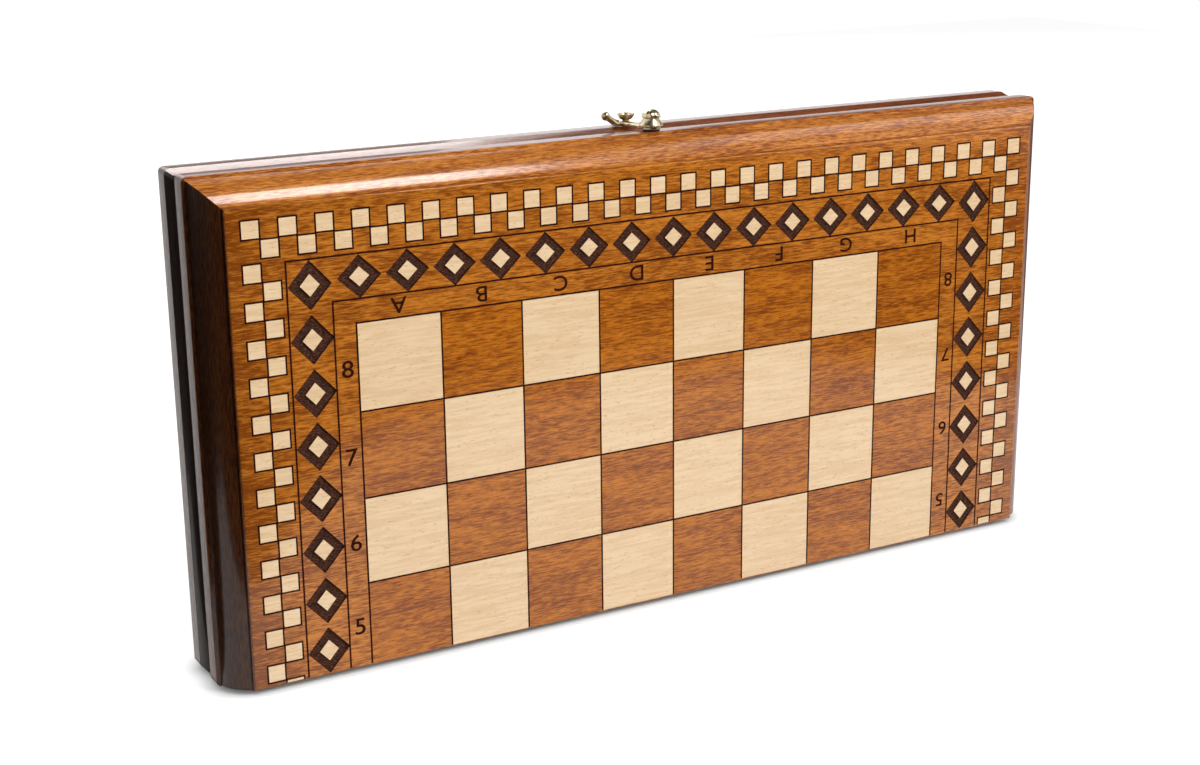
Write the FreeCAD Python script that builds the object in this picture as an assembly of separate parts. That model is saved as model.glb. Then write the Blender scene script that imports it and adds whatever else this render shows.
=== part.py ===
import FreeCAD, Part
import math
import os

# Folding chess and backgammon box, closed and standing on its hinge edge.
# X runs along the box, the chess face looks towards -Y, Z is up and the halves meet at Y = 0.
# All sizes are millimetres.

# Chess field, which sets the size of the face
square = 43.7
columns = 8
rows_per_half = 4
side_margin = 60.0
top_margin = 59.2

# Panel of each half
panel_thickness = 6.0
panel_arris = 1.2
hinge_edge_arris = 1.0
panel_fit = 0.15

# Moulded edge, in the order in which it leaves the face
quirk_width = 1.0
quirk_depth = 1.9
moulding_run = 10.9
moulding_fall = 12.0
moulding_crown = 2.0
fillet_width = 2.1
strip_width = 9.3
rim_bevel_drop = 2.2

# Frame of each half
half_depth = 31.5
rim_gap = 0.4
ledge_width = 7.0
hinge_rail_height = 16.0
top_corner_radius = 3.0
hinge_corner_radius = 3.0
end_bevel = 1.2

# Butt hinges
hinge_inset = 100.0
hinge_length = 38.0
knuckle_count = 5
knuckle_radius = 2.0
knuckle_gap = 0.15
knuckle_clearance = 0.35
hinge_drop = 0.3
leaf_width = 13.0
leaf_thickness = 1.2
leaf_fit = 0.1
pin_radius = 1.0
pin_clearance = 0.05
pin_head_radius = 1.6
pin_head_length = 0.8

# Countersunk hinge screws
screws_per_leaf = 3
screw_pitch = 12.5
screw_height = 8.0
screw_head_radius = 2.6
screw_shank_radius = 1.4
screw_length = 12.0
screw_slot_width = 0.7
screw_slot_depth = 0.6
screw_fit = 0.05

# Swing hook clasp on the top strips
clasp_x = -2.0
clasp_screw_depth = 12.0
washer_radius = 4.4
pivot_washer_thickness = 0.8
keeper_washer_thickness = 0.5
hook_lift = 0.1
hook_thickness = 1.6
hook_eye_radius = 5.0
hook_waist = 5.2
hook_notch_radius = 2.5
hook_claw_wall = 2.5
hook_claw_reach = 2.0
hook_tail_width = 4.2
hook_tail_setback = 4.4
hook_tail_length = 6.0
hook_knob_offset = 12.6
hook_knob_height = 6.4
hook_knob_radius = 2.3
hook_knob_flat = 0.6
hook_neck_radius = 1.6
hook_root_radius = 2.0
unlatch_angle = 9.0
pivot_radius = 1.9
pivot_clearance = 0.06
pivot_gap = 0.2
skirt_radius = 6.2
skirt_rim = 0.5
skirt_height = 4.2
skirt_neck_radius = 4.1
skirt_waist = 0.5
cap_radius = 5.0
cap_shoulder_radius = 4.5
cap_shoulder_height = 2.1
cap_flat_radius = 1.8
cap_height = 4.0
stud_radius = 1.8
stud_head_lift = 0.5
stud_collar_radius = 2.9
stud_head_radius = 4.5
stud_head_height = 2.5
stud_head_waist = 0.3
stud_rim = 0.4
stud_dish_radius = 3.3
stud_dish_depth = 0.9

# Places worked out from the sizes above
bottom = knuckle_radius + hinge_drop
axis_z = knuckle_radius
face_half = columns * square / 2 + side_margin
face_top = bottom + rows_per_half * square + top_margin
face_y = -half_depth
rim_y = -rim_gap / 2
moulding_start = panel_arris + quirk_width
moulding_end = moulding_start + moulding_run
strip_out = moulding_end + fillet_width
strip_start = quirk_depth + moulding_fall
strip_end = strip_start + strip_width
inner_offset = panel_arris - ledge_width
half_length = face_half + strip_out
hinge_x = half_length - hinge_inset
top_z = face_top + strip_out
inner_x = face_half + inner_offset
strip_middle = half_depth - (strip_start + strip_end) / 2
hook_bottom = top_z + pivot_washer_thickness + hook_lift
hook_top = hook_bottom + hook_thickness
overcut = 5.0
touch = 0.01
X_AXIS = FreeCAD.Vector(1, 0, 0)
Y_AXIS = FreeCAD.Vector(0, 1, 0)
Z_AXIS = FreeCAD.Vector(0, 0, 1)
ORIGIN = FreeCAD.Vector(0, 0, 0)


def block(low, high):
    """Box between two opposite corners."""
    size = [high[i] - low[i] for i in range(3)]
    return Part.makeBox(size[0], size[1], size[2], FreeCAD.Vector(*low))


def rod(radius, length, start, direction):
    """Solid cylinder from a start point along a direction."""
    return Part.makeCylinder(radius, length, FreeCAD.Vector(*start), direction)


def prism(points, travel):
    """Flat polygon carried straight along a vector."""
    corners = [FreeCAD.Vector(*point) for point in points]
    return Part.Face(Part.makePolygon(corners + corners[:1])).extrude(travel)


def chain(steps, place):
    """Closed wire of lines and three-point arcs.

    Each step is (end,) for a line or (middle, end) for an arc, in section coordinates.
    """
    edges = []
    last = place(*steps[0][-1])
    for step in steps[1:] + steps[:1]:
        end = place(*step[-1])
        if len(step) == 2:
            edges.append(Part.Arc(last, place(*step[0]), end).toShape())
        else:
            edges.append(Part.LineSegment(last, end).toShape())
        last = end
    return Part.Wire(edges)


def bowed(start, end, rise):
    """Middle point of an arc that stands a rise to the right of its chord."""
    run = end[0] - start[0]
    fall = end[1] - start[1]
    chord = math.hypot(run, fall)
    middle = ((start[0] + end[0]) / 2, (start[1] + end[1]) / 2)
    return (middle[0] + rise * fall / chord, middle[1] - rise * run / chord)


def mirrored_x(shape):
    """The same piece for the other end of the box."""
    return shape.mirror(ORIGIN, X_AXIS)


def mirrored_y(shape):
    """The same piece for the other half of the box."""
    return shape.mirror(ORIGIN, Y_AXIS)


def moulding_section(place):
    """Section of a moulded rail: rabbet, quirk, crowned moulding, fillet, strip and rim bevel.

    place turns an offset out of the face edge and a depth behind the face into a point.
    """
    rabbet = panel_arris + panel_fit
    start = (moulding_start, quirk_depth)
    end = (moulding_end, strip_start)
    rim_depth = half_depth + rim_y
    steps = [
        ((inner_offset, panel_thickness),),
        ((rabbet, panel_thickness),),
        ((rabbet, quirk_depth),),
        (start,),
        (bowed(start, end, moulding_crown), end),
        ((strip_out, strip_start),),
        ((strip_out, strip_end),),
        ((strip_out - rim_bevel_drop, rim_depth),),
        ((inner_offset, rim_depth),),
    ]
    return Part.Face(chain(steps, place))


def corner_waste(x, z, radius, x_side, z_side):
    """What a rounded corner takes off an outer corner at x, z, right through one half."""
    centre_x = x - x_side * radius
    centre_z = z - z_side * radius
    low = (min(x + x_side * overcut, centre_x), face_y - overcut, min(z + z_side * overcut, centre_z))
    high = (max(x + x_side * overcut, centre_x), overcut, max(z + z_side * overcut, centre_z))
    length = high[1] - low[1]
    return block(low, high).cut(rod(radius, length, (centre_x, low[1], centre_z), Y_AXIS))


def end_bevel_waste():
    """Wedge that bevels the lower end of the left moulding, halfway between its slope and its end."""
    start = (moulding_start, quirk_depth)
    end = (moulding_end, strip_start)
    crest = bowed(start, end, moulding_crown)
    slope = math.hypot(moulding_run, moulding_fall)
    normal = FreeCAD.Vector(-moulding_fall / slope, -moulding_run / slope, -1.0).normalize()
    point = FreeCAD.Vector(-face_half - crest[0], face_y + crest[1], bottom + end_bevel)
    size = 4 * half_depth
    wedge = Part.makeBox(size, size, size, FreeCAD.Vector(-size / 2, -size / 2, 0))
    wedge.Placement = FreeCAD.Placement(point, FreeCAD.Rotation(Z_AXIS, normal))
    return wedge


def mitre_reach():
    """How far a mitre runs in from the outer corner, past the inner wall."""
    return strip_out - inner_offset + overcut


def left_rail():
    """Left moulded rail of the front half, mitred at the top and rounded at the hinge corner."""
    section = moulding_section(lambda out, deep: FreeCAD.Vector(-face_half - out, face_y + deep, bottom))
    rail = section.extrude(Z_AXIS * (top_z - bottom))
    reach = mitre_reach()
    keep = prism(
        [
            (-half_length - overcut, face_y - overcut, bottom),
            (-half_length - overcut, face_y - overcut, top_z + overcut),
            (-half_length + reach, face_y - overcut, top_z - reach),
            (-half_length + reach, face_y - overcut, bottom),
        ],
        Y_AXIS * (half_depth + 2 * overcut),
    )
    rail = rail.common(keep)
    rail = rail.cut(corner_waste(-half_length, top_z, top_corner_radius, -1, 1))
    rail = rail.cut(corner_waste(-half_length, bottom, hinge_corner_radius, -1, -1))
    return rail.cut(end_bevel_waste())


def top_rail(screw_radius):
    """Top moulded rail of the front half, mitred at both ends and bored for the clasp's screw."""
    section = moulding_section(lambda out, deep: FreeCAD.Vector(-half_length, face_y + deep, face_top + out))
    rail = section.extrude(X_AXIS * (2 * half_length))
    reach = mitre_reach()
    keep = prism(
        [
            (-half_length - overcut, face_y - overcut, top_z + overcut),
            (half_length + overcut, face_y - overcut, top_z + overcut),
            (half_length - reach, face_y - overcut, top_z - reach),
            (-half_length + reach, face_y - overcut, top_z - reach),
        ],
        Y_AXIS * (half_depth + 2 * overcut),
    )
    rail = rail.common(keep)
    for side in (-1, 1):
        rail = rail.cut(corner_waste(side * half_length, top_z, top_corner_radius, side, 1))
    start = (clasp_x, -strip_middle, top_z - clasp_screw_depth)
    return rail.cut(rod(screw_radius + screw_fit, clasp_screw_depth + overcut, start, Z_AXIS))


def hinge_rail():
    """Plain rail of the front half along the hinge, let in for the leaves, knuckles and screws."""
    rail = block(
        (-inner_x, face_y + panel_thickness, bottom),
        (inner_x, rim_y, bottom + hinge_rail_height),
    )
    for side in (-1, 1):
        centre = side * hinge_x
        half = hinge_length / 2 + leaf_fit
        low = (centre - half, rim_y - leaf_thickness, bottom - overcut)
        high = (centre + half, rim_y + overcut, axis_z + leaf_width + leaf_fit)
        notch_half = hinge_length / 2 + pin_head_length + knuckle_clearance
        notch_radius = knuckle_radius + knuckle_clearance
        rail = rail.cut(block(low, high))
        rail = rail.cut(rod(notch_radius, 2 * notch_half, (centre - notch_half, 0, axis_z), X_AXIS))
        for x in screw_places(centre):
            rail = rail.cut(screw_body(x, screw_fit))
    return rail


def panel():
    """Face panel of the front half with its arrises rounded over."""
    low = (-face_half - panel_arris, face_y, bottom)
    high = (face_half + panel_arris, face_y + panel_thickness, face_top + panel_arris)
    plate = block(low, high)
    moulded = [edge for edge in plate.Edges if on_moulded_arris(edge.CenterOfMass, low)]
    return plate.makeFillet(panel_arris, moulded).cut(hinge_arris_waste(low))


def on_moulded_arris(point, low):
    """True on the front arrises of a panel, other than the one along the hinge."""
    return abs(point.y - low[1]) < touch and abs(point.z - low[2]) > touch


def hinge_arris_waste(low):
    """What the rounded arris takes off the panel's hinge edge."""
    radius = hinge_edge_arris
    length = 2 * abs(low[0]) + 2 * overcut
    start_x = low[0] - overcut
    corner = block(
        (start_x, low[1] - overcut, low[2] - overcut),
        (start_x + length, low[1] + radius, low[2] + radius),
    )
    return corner.cut(rod(radius, length, (start_x, low[1] + radius, low[2] + radius), X_AXIS))


def screw_places(centre):
    """Screw positions along one hinge."""
    middle = (screws_per_leaf - 1) / 2
    return [centre + (i - middle) * screw_pitch for i in range(screws_per_leaf)]


def screw_body(x, extra):
    """Countersunk screw into the front half, or its hole when extra is a clearance."""
    height = axis_z + screw_height
    profile = [
        (0, 0),
        (screw_head_radius + extra, 0),
        (screw_shank_radius + extra, leaf_thickness),
        (screw_shank_radius + extra, screw_length + extra),
        (0, screw_length + extra),
    ]
    points = [FreeCAD.Vector(x + radius, rim_y - deep, height) for radius, deep in profile]
    face = Part.Face(Part.makePolygon(points + points[:1]))
    return face.revolve(FreeCAD.Vector(x, rim_y, height), Y_AXIS, 360)


def hinge_screw(x):
    """Screw of the front half with its driving slot."""
    height = axis_z + screw_height
    slot = block(
        (x - screw_head_radius, rim_y - screw_slot_depth, height - screw_slot_width / 2),
        (x + screw_head_radius, rim_y + overcut, height + screw_slot_width / 2),
    )
    return screw_body(x, 0).cut(slot)


def hinge_screws():
    """All screws of the front half as separate solids."""
    return [hinge_screw(x) for side in (-1, 1) for x in screw_places(side * hinge_x)]


def knuckle_spans(centre, parity):
    """Start and length of every second knuckle of a hinge, without their running gaps."""
    pitch = hinge_length / knuckle_count
    start = centre - hinge_length / 2
    return [(start + i * pitch, pitch) for i in range(knuckle_count) if i % 2 == parity]


def hinge_leaf(centre, parity):
    """Leaf let into the front rim, with its own knuckles and room for the other leaf's."""
    half = hinge_length / 2
    leaf = block(
        (centre - half, rim_y - leaf_thickness, axis_z),
        (centre + half, rim_y, axis_z + leaf_width),
    )
    for start, pitch in knuckle_spans(centre, parity):
        leaf = leaf.fuse(rod(knuckle_radius, pitch, (start, 0, axis_z), X_AXIS))
    for start, pitch in knuckle_spans(centre, 1 - parity):
        room = rod(
            knuckle_radius + knuckle_clearance,
            pitch + 2 * knuckle_gap,
            (start - knuckle_gap, 0, axis_z),
            X_AXIS,
        )
        leaf = leaf.cut(room)
    bore = rod(
        pin_radius + pin_clearance,
        hinge_length + 2 * overcut,
        (centre - half - overcut, 0, axis_z),
        X_AXIS,
    )
    leaf = leaf.cut(bore)
    for x in screw_places(centre):
        leaf = leaf.cut(screw_body(x, screw_fit))
    return leaf.removeSplitter()


def hinge_pin(centre):
    """Hinge pin with a riveted head at each end."""
    half = hinge_length / 2
    pin = rod(pin_radius, hinge_length, (centre - half, 0, axis_z), X_AXIS)
    for start in (centre - half - pin_head_length, centre + half):
        pin = pin.fuse(rod(pin_head_radius, pin_head_length, (start, 0, axis_z), X_AXIS))
    return pin.removeSplitter()


def turned(steps, y):
    """Turned piece on the clasp's line, from (radius, height over the strip) steps."""
    place = lambda radius, height: FreeCAD.Vector(clasp_x + radius, y, top_z + height)
    face = Part.Face(chain(steps, place))
    return face.revolve(FreeCAD.Vector(clasp_x, y, top_z), Z_AXIS, 360)


def washer(bore, thickness, y):
    """Plain washer on the strip."""
    steps = [
        ((bore, 0),),
        ((washer_radius, 0),),
        ((washer_radius, thickness),),
        ((bore, thickness),),
    ]
    return turned(steps, y)


def pivot_post():
    """Pivot screw of the hook, with a flared skirt under a bevelled cap."""
    base = hook_top - top_z + pivot_gap
    rim = (skirt_radius, base + skirt_rim)
    neck = (skirt_neck_radius, base + skirt_height)
    edge = (cap_radius, neck[1])
    crown = edge[1] + cap_height
    steps = [
        ((0, -clasp_screw_depth),),
        ((pivot_radius, -clasp_screw_depth),),
        ((pivot_radius, base),),
        ((skirt_radius, base),),
        (rim,),
        (bowed(rim, neck, -skirt_waist), neck),
        (edge,),
        ((cap_shoulder_radius, edge[1] + cap_shoulder_height),),
        ((cap_flat_radius, crown),),
        ((0, crown),),
    ]
    return turned(steps, -strip_middle)


def keeper_stud():
    """Keeper stud whose head flares over the hook and is dished on top."""
    base = hook_top - top_z + stud_head_lift
    collar = (stud_collar_radius, base)
    flare = (stud_head_radius, base + stud_head_height)
    top = flare[1] + stud_rim
    steps = [
        ((0, -clasp_screw_depth),),
        ((stud_radius, -clasp_screw_depth),),
        ((stud_radius, base),),
        (collar,),
        (bowed(collar, flare, stud_head_waist), flare),
        ((stud_head_radius, top),),
        ((stud_dish_radius, top),),
        ((stud_dish_radius, top - stud_dish_depth),),
        ((0, top - stud_dish_depth),),
    ]
    return turned(steps, strip_middle)


def hook_plate(reach):
    """Flat of the hook in its latched place, with the pivot at the origin and the stud at Y = reach."""
    up = Z_AXIS * hook_thickness
    claw_radius = hook_notch_radius + hook_claw_wall
    plate = rod(hook_eye_radius, hook_thickness, (0, 0, hook_bottom), Z_AXIS)
    plate = plate.fuse(rod(claw_radius, hook_thickness, (0, reach, hook_bottom), Z_AXIS))
    waist = hook_waist / 2
    arm = prism(
        [
            (-hook_eye_radius + hook_claw_wall / 2, 0, hook_bottom),
            (hook_eye_radius - hook_claw_wall / 2, 0, hook_bottom),
            (waist, reach / 2, hook_bottom),
            (waist, reach - hook_notch_radius, hook_bottom),
            (-claw_radius + hook_claw_wall / 2, reach - hook_notch_radius, hook_bottom),
            (-waist, reach / 2, hook_bottom),
        ],
        up,
    )
    tail_y = reach - hook_tail_setback
    tail = block(
        (-hook_tail_length, tail_y - hook_tail_width / 2, hook_bottom),
        (0, tail_y + hook_tail_width / 2, hook_top),
    )
    tip = rod(hook_tail_width / 2, hook_thickness, (-hook_tail_length, tail_y, hook_bottom), Z_AXIS)
    plate = plate.fuse([arm, tail, tip])
    notch = rod(hook_notch_radius, hook_thickness, (0, reach, hook_bottom), Z_AXIS)
    mouth = block(
        (0, reach - hook_notch_radius, hook_bottom),
        (claw_radius + overcut, reach + hook_notch_radius, hook_top),
    )
    beyond = block(
        (hook_claw_reach, reach + hook_notch_radius - overcut, hook_bottom),
        (claw_radius + overcut, reach + claw_radius + overcut, hook_top),
    )
    eye = rod(pivot_radius + pivot_clearance, hook_thickness, (0, 0, hook_bottom), Z_AXIS)
    return plate.cut([notch, mouth, beyond, eye])


def knob(root, ball):
    """Tapered neck and ball, turned about the line from the tail's end up to the ball."""
    along = ball - root
    quarter = hook_root_radius * math.sqrt(0.5)
    neck_end = along.Length - math.sqrt(hook_knob_radius ** 2 - hook_neck_radius ** 2)
    ball_end = along.Length + math.sqrt(hook_knob_radius ** 2 - hook_knob_flat ** 2)
    steps = [
        ((0, -hook_root_radius),),
        ((quarter, -quarter), (hook_root_radius, 0)),
        ((hook_neck_radius, neck_end),),
        ((hook_knob_radius, along.Length), (hook_knob_flat, ball_end)),
        ((0, ball_end),),
    ]
    face = Part.Face(chain(steps, lambda radius, run: FreeCAD.Vector(radius, 0, run)))
    piece = face.revolve(ORIGIN, Z_AXIS, 360)
    piece.Placement = FreeCAD.Placement(root, FreeCAD.Rotation(Z_AXIS, along))
    return piece


def hook():
    """Cast hook with its rising ball-ended tail, swung clear of the stud."""
    reach = 2 * strip_middle
    tail_y = reach - hook_tail_setback
    root = FreeCAD.Vector(-hook_tail_length, tail_y, hook_bottom + hook_thickness / 2)
    ball = FreeCAD.Vector(-hook_knob_offset, tail_y, top_z + hook_knob_height)
    under = block(
        (-hook_knob_offset - overcut, tail_y - overcut, hook_bottom - overcut),
        (overcut, tail_y + overcut, hook_bottom),
    )
    body = hook_plate(reach).fuse(knob(root, ball).cut(under)).removeSplitter()
    body.rotate(ORIGIN, Z_AXIS, unlatch_angle)
    body.translate(FreeCAD.Vector(clasp_x, -strip_middle, 0))
    return body


def pieces():
    """Every node of the box by name."""
    front_left = left_rail()
    front_hinge = hinge_rail()
    face = panel()
    screws = hinge_screws()
    back_top = mirrored_y(top_rail(stud_radius))
    nodes = {
        "front_panel": face,
        "front_top_rail": top_rail(pivot_radius),
        "front_left_rail": front_left,
        "front_right_rail": mirrored_x(front_left),
        "front_hinge_rail": front_hinge,
        "back_panel": mirrored_y(face),
        "back_top_rail": back_top,
        "back_left_rail": mirrored_y(front_left),
        "back_right_rail": mirrored_x(mirrored_y(front_left)),
        "back_hinge_rail": mirrored_y(front_hinge),
        "hinge_front_screws": Part.makeCompound(screws),
        "hinge_back_screws": Part.makeCompound([mirrored_y(screw) for screw in screws]),
        "clasp_pivot_washer": washer(pivot_radius + screw_fit, pivot_washer_thickness, -strip_middle),
        "clasp_pivot_post": pivot_post(),
        "clasp_hook": hook(),
        "clasp_keeper_washer": washer(stud_radius + screw_fit, keeper_washer_thickness, strip_middle),
        "clasp_keeper_stud": keeper_stud(),
    }
    for name, side in (("left", -1), ("right", 1)):
        centre = side * hinge_x
        nodes[name + "_hinge_front_leaf"] = hinge_leaf(centre, 0)
        nodes[name + "_hinge_back_leaf"] = mirrored_y(hinge_leaf(centre, 1))
        nodes[name + "_hinge_pin"] = hinge_pin(centre)
    return nodes


os.makedirs("parts", exist_ok=True)
for node, shape in pieces().items():
    shape.exportStep("parts/" + node + ".step")
    print(node, len(shape.Solids), round(shape.Volume, 1), shape.isValid())
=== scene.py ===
"""Folding chess and backgammon box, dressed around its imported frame.

Each half is a mitred beech frame with a crowned moulding round a stained panel. The chess field, its
border and its engraved lozenges lie on the outside of the panels, the backgammon points on the inside.
Sizes are written in millimetres and turned to metres where a mesh is made.
"""

import logging
import math
from dataclasses import dataclass
from enum import Enum

import bmesh
import bpy
import numpy as np
from mathutils import Matrix, Vector
from mathutils.geometry import delaunay_2d_cdt


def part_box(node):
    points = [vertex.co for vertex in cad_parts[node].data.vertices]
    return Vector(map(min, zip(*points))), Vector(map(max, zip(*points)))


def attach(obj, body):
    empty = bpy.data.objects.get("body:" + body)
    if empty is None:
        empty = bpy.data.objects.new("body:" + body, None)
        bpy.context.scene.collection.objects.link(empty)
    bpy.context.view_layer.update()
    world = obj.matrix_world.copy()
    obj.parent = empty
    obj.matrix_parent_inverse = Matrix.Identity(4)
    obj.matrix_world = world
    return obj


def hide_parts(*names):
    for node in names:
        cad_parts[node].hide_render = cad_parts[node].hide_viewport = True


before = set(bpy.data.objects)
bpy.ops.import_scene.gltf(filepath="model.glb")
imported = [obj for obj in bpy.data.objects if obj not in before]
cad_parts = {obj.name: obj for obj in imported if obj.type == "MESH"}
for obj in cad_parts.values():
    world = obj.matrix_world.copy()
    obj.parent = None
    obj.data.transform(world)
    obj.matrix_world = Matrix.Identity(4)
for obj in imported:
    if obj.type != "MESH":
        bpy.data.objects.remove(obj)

Array = np.ndarray
Material = bpy.types.Material
Tree = bpy.types.NodeTree
Socket = bpy.types.NodeSocket
Pair = tuple[float, float]
Triple = tuple[float, float, float]
Mesh = tuple[Array, list]

LOG = logging.getLogger("chess_box")
MM = 0.001
WELD = 1e-6
SHARP_ANGLE = math.radians(32)
WHITE = (1, 1, 1, 1)


class Half(Enum):
    """The halves of the box, by the side of the seam on which each one lies."""

    FRONT = -1
    BACK = 1

    @property
    def prefix(self) -> str:
        """Start of the names of this half's pieces."""
        return self.name.lower()

    @property
    def body(self) -> str:
        """Moving body that carries this half."""
        return self.prefix + "_half"


class Side(Enum):
    """The moulded rails of a half, by the sign of their place along the box."""

    LEFT = -1
    TOP = 0
    RIGHT = 1


class Run(Enum):
    """Parts of a moulded rail, by the index of their finish."""

    MOULDING = 0
    END = 1
    STRIP = 2
    BEVEL = 3


class Grain(Enum):
    """Axis along which the wood's fibres run."""

    ALONG_X = 0
    ALONG_Z = 2


def linear(colour: str) -> tuple[float, float, float, float]:
    """Turns an sRGB hex colour to linear RGBA.

    Args:
        colour: six hex digits after a hash sign.

    Returns:
        Linear red, green, blue and an alpha of one.
    """
    channels = np.array([int(colour[i : i + 2], 16) for i in (1, 3, 5)]) / 255
    curve = np.where(channels <= 0.04045, channels / 12.92, ((channels + 0.055) / 1.055) ** 2.4)
    return (*curve.tolist(), 1.0)


def add(tree: Tree, kind: str, inputs: dict | None = None, **settings: object) -> bpy.types.Node:
    """Adds one node with its settings, socket values and links.

    Args:
        tree: node tree that takes the node.
        kind: Blender's name of the node type.
        inputs: socket name or index to a value, or to an output socket that is linked in.
        settings: attributes of the node itself.

    Returns:
        The new node.
    """
    node = tree.nodes.new(kind)
    for key, value in settings.items():
        setattr(node, key, value)
    for key, value in (inputs or {}).items():
        if isinstance(value, Socket):
            tree.links.new(value, node.inputs[key])
        else:
            node.inputs[key].default_value = value
    return node


def reckon(tree: Tree, operation: str, *values: Socket | float) -> Socket:
    """Joins values by one operation of the Math node."""
    return add(tree, "ShaderNodeMath", dict(enumerate(values)), operation=operation).outputs[0]


def spread(
    tree: Tree, value: Socket, span: Pair, result: Pair = (0, 1), ends: str = "LINEAR"
) -> Socket:
    """Stretches a span of a value to another span and holds it at both ends.

    Args:
        tree: node tree that takes the node.
        value: the value.
        span: its span before.
        result: its span after.
        ends: LINEAR, or SMOOTHSTEP for soft ends.

    Returns:
        The stretched value.
    """
    spans = dict(zip(("From Min", "From Max", "To Min", "To Max"), (*span, *result)))
    inputs = {"Value": value, **spans}
    return add(tree, "ShaderNodeMapRange", inputs, interpolation_type=ends).outputs[0]


def tinted(tree: Tree, share: Socket, first: str | Socket, second: str) -> Socket:
    """Mixes two colours.

    Args:
        tree: node tree that takes the node.
        share: share of the second colour.
        first: hex colour or colour socket.
        second: hex colour.

    Returns:
        The mixed colour.
    """
    start = linear(first) if isinstance(first, str) else first
    inputs = {0: share, 6: start, 7: linear(second)}
    return add(tree, "ShaderNodeMix", inputs, data_type="RGBA").outputs[2]


def noise(tree: Tree, size_mm: Triple, detail: float, roughness: float = 0.5) -> Socket:
    """Noise in the object's own coordinates, with cells of a given size.

    Args:
        tree: node tree that takes the nodes.
        size_mm: cell size along each axis.
        detail: octaves of finer noise.
        roughness: strength of each octave in the one before.

    Returns:
        The noise value, about 0.5 on average.
    """
    place = add(tree, "ShaderNodeTexCoord").outputs["Object"]
    scale = [1 / (size * MM) for size in size_mm]
    cells = add(tree, "ShaderNodeMapping", {"Vector": place, "Scale": scale}).outputs[0]
    inputs = {"Vector": cells, "Scale": 1.0, "Detail": detail, "Roughness": roughness}
    return add(tree, "ShaderNodeTexNoise", inputs).outputs[0]


def relief(tree: Tree, height: Socket, strength: float, depth_mm: float) -> Socket:
    """Bump of a height, at a strength and a depth."""
    inputs = {"Height": height, "Strength": strength, "Distance": depth_mm * MM}
    return add(tree, "ShaderNodeBump", inputs).outputs[0]


def blank_material(name: str) -> tuple[Material, Tree]:
    """Makes a material whose node tree is still empty.

    Args:
        name: material name.

    Returns:
        The material and its tree.
    """
    material = bpy.data.materials.new(name)
    material.use_nodes = True
    material.node_tree.nodes.clear()
    return material, material.node_tree


class Finish:
    """A finish that makes its Blender material once and hands the same one out again."""

    name: str

    def material(self) -> Material:
        """The finish as a material, made on its first use.

        Returns:
            The same material at each call.
        """
        made = bpy.data.materials.get(self.name)
        if made is None:
            made, tree = blank_material(self.name)
            skin = add(tree, "ShaderNodeBsdfPrincipled", self.sockets(tree))
            add(tree, "ShaderNodeOutputMaterial", {"Surface": skin.outputs[0]})
        return made

    def sockets(self, tree: Tree) -> dict:
        """Values and links of the shader, by socket name."""
        raise NotImplementedError


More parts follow.
